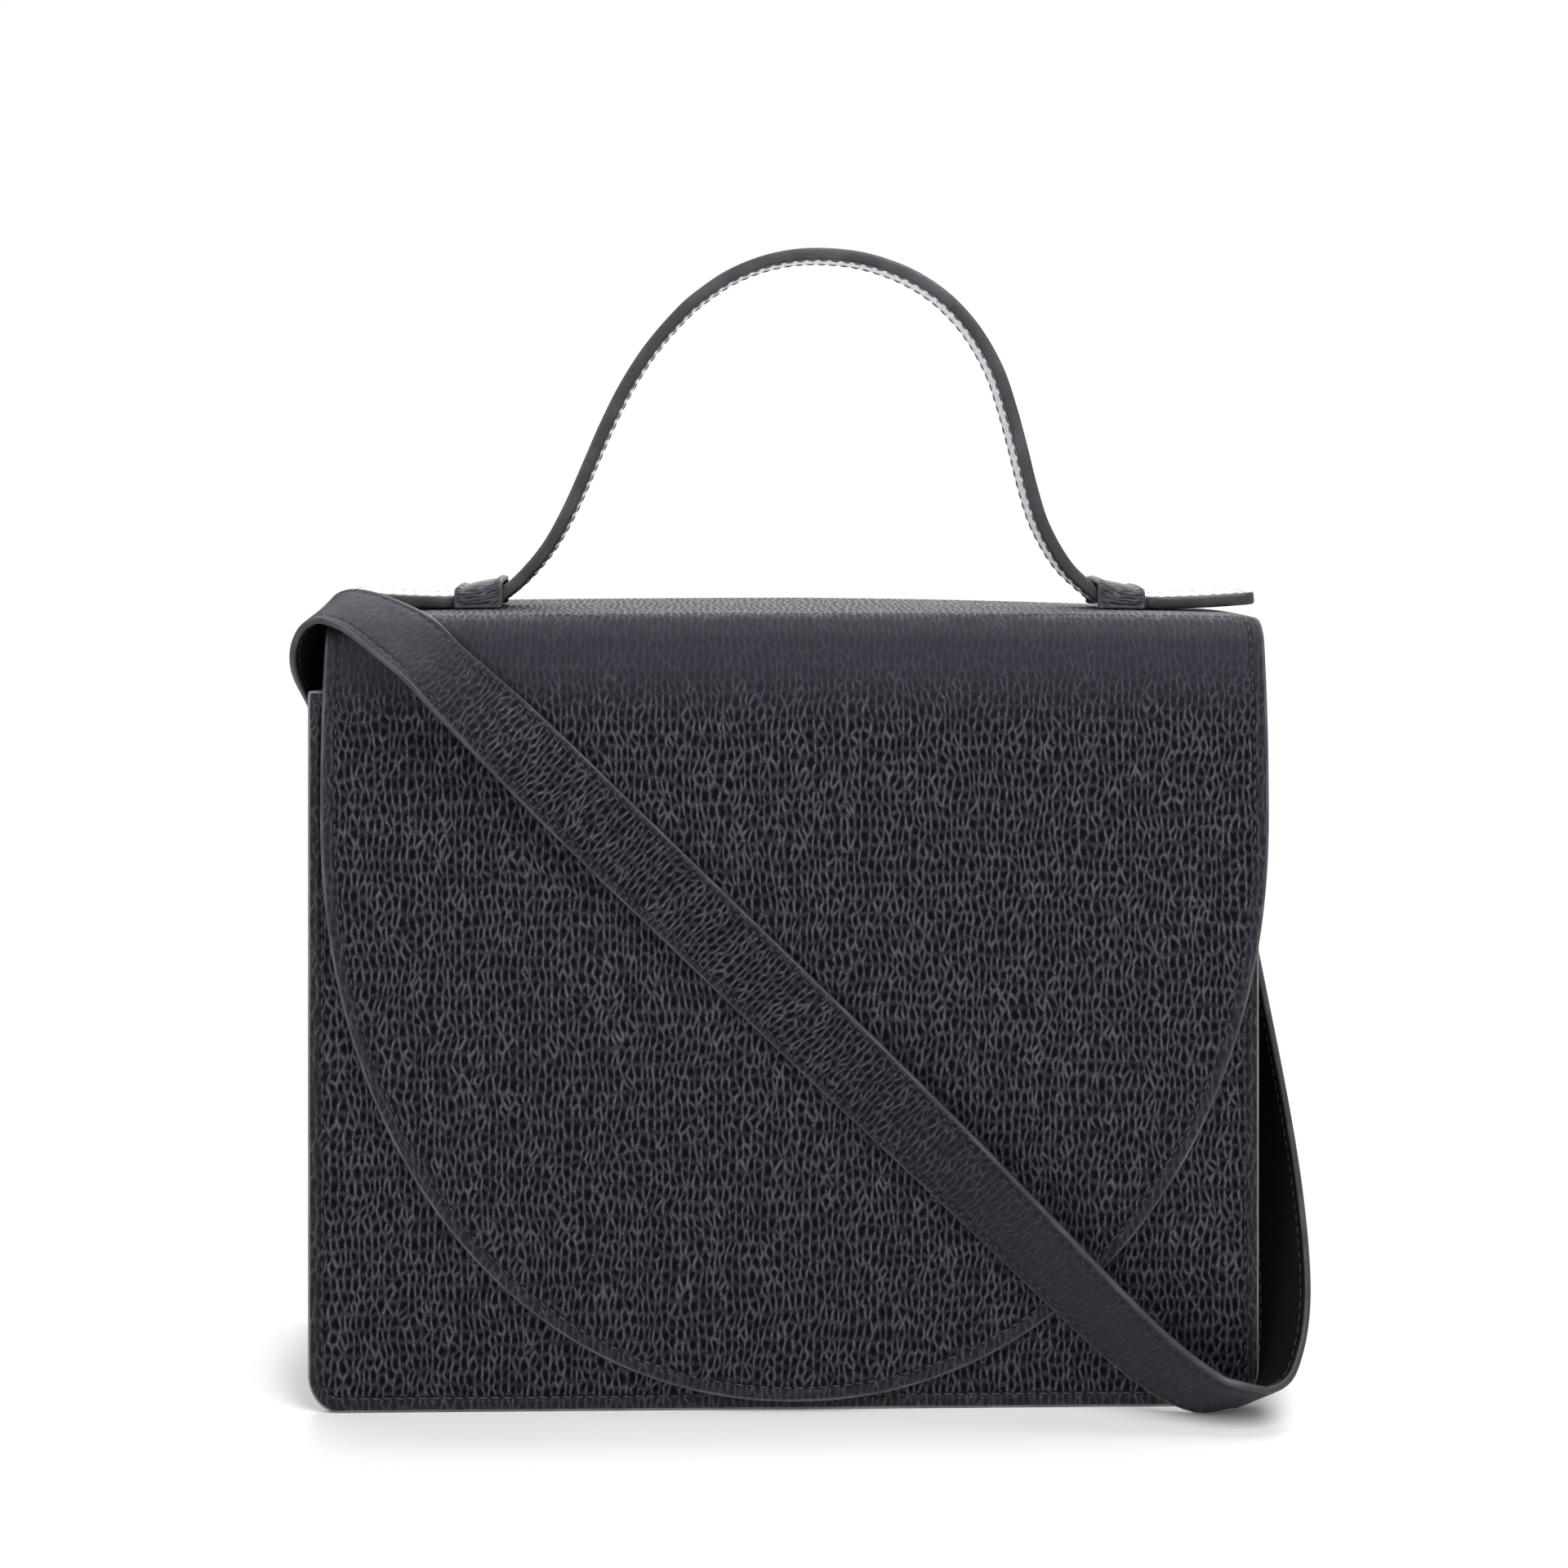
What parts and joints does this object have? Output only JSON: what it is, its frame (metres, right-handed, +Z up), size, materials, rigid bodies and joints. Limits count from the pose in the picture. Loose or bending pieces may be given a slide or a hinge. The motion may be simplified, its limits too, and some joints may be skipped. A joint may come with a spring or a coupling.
{
  "type": "leather briefcase",
  "caption": "Structured dark leather briefcase with a D-shaped front flap, an arched top handle held in two leather keepers and a long shoulder strap laid across the front.",
  "frame": {"origin": "bottom centre of the bounding box of the whole bag with its strap, on the ground it stands on", "axes": "+Z up, -Y is the front with the flap, +X is the right-hand side seen from the front"},
  "size_m": [0.3198, 0.1136, 0.3689],
  "materials": {
    "pebbled_leather": "pebbled grain, satin",
    "strap_leather": "fine cross grain, satin",
    "suede_lining": "matte suede",
    "fibre_board": "matte",
    "dark_metal": "satin dark nickel"
  },
  "bodies": {
    "bag": {"front_panel": "pebbled_leather", "back_panel": "pebbled_leather", "gusset": "pebbled_leather", "left_strap_patch": "pebbled_leather", "right_strap_patch": "pebbled_leather", "shoulder_strap": "strap_leather", "front_facing": "strap_leather", "back_facing": "strap_leather", "gusset_lining": "suede_lining", "front_lining": "suede_lining", "back_lining": "suede_lining", "slip_pocket": "suede_lining", "front_stiffener": "fibre_board", "back_stiffener": "fibre_board", "base_board": "fibre_board", "front_magnet": "dark_metal", "left_strap_rivet": "dark_metal", "right_strap_rivet": "dark_metal"},
    "flap": {"flap_leather": "pebbled_leather", "top_board": "fibre_board", "flap_board": "fibre_board", "flap_lining": "suede_lining", "flap_magnet": "dark_metal", "left_keeper": "strap_leather", "right_keeper": "strap_leather"},
    "handle": {"handle_grip": "strap_leather", "handle_left_leg": "strap_leather", "handle_right_leg": "strap_leather"},
    "left_tail": {"handle_left_tail": "strap_leather"},
    "right_tail": {"handle_right_tail": "strap_leather"}
  },
  "joints": [
    {"name": "flap_hinge", "type": "hinge", "parent": "bag", "child": "flap", "pos_m": [-0.00654, 0.05681, 0.2415], "axis": [-1, 0, 0], "range_deg": [0, 105], "deforming": ["shoulder_strap"]},
    {"name": "handle_drop", "type": "slide", "parent": "flap", "child": "handle", "axis": [0, 0, -1], "range_m": [0, 0.012], "deforming": ["handle_left_leg", "handle_right_leg"]},
    {"name": "left_tail_slide", "type": "slide", "parent": "flap", "child": "left_tail", "axis": [-1, 0, 0], "range_m": [0, 0.009]},
    {"name": "right_tail_slide", "type": "slide", "parent": "flap", "child": "right_tail", "axis": [1, 0, 0], "range_m": [0, 0.009]}
  ],
  "couplings": [
    {"joint": "left_tail_slide", "follows": "handle_drop", "ratio": 0.75},
    {"joint": "right_tail_slide", "follows": "handle_drop", "ratio": 0.75}
  ]
}
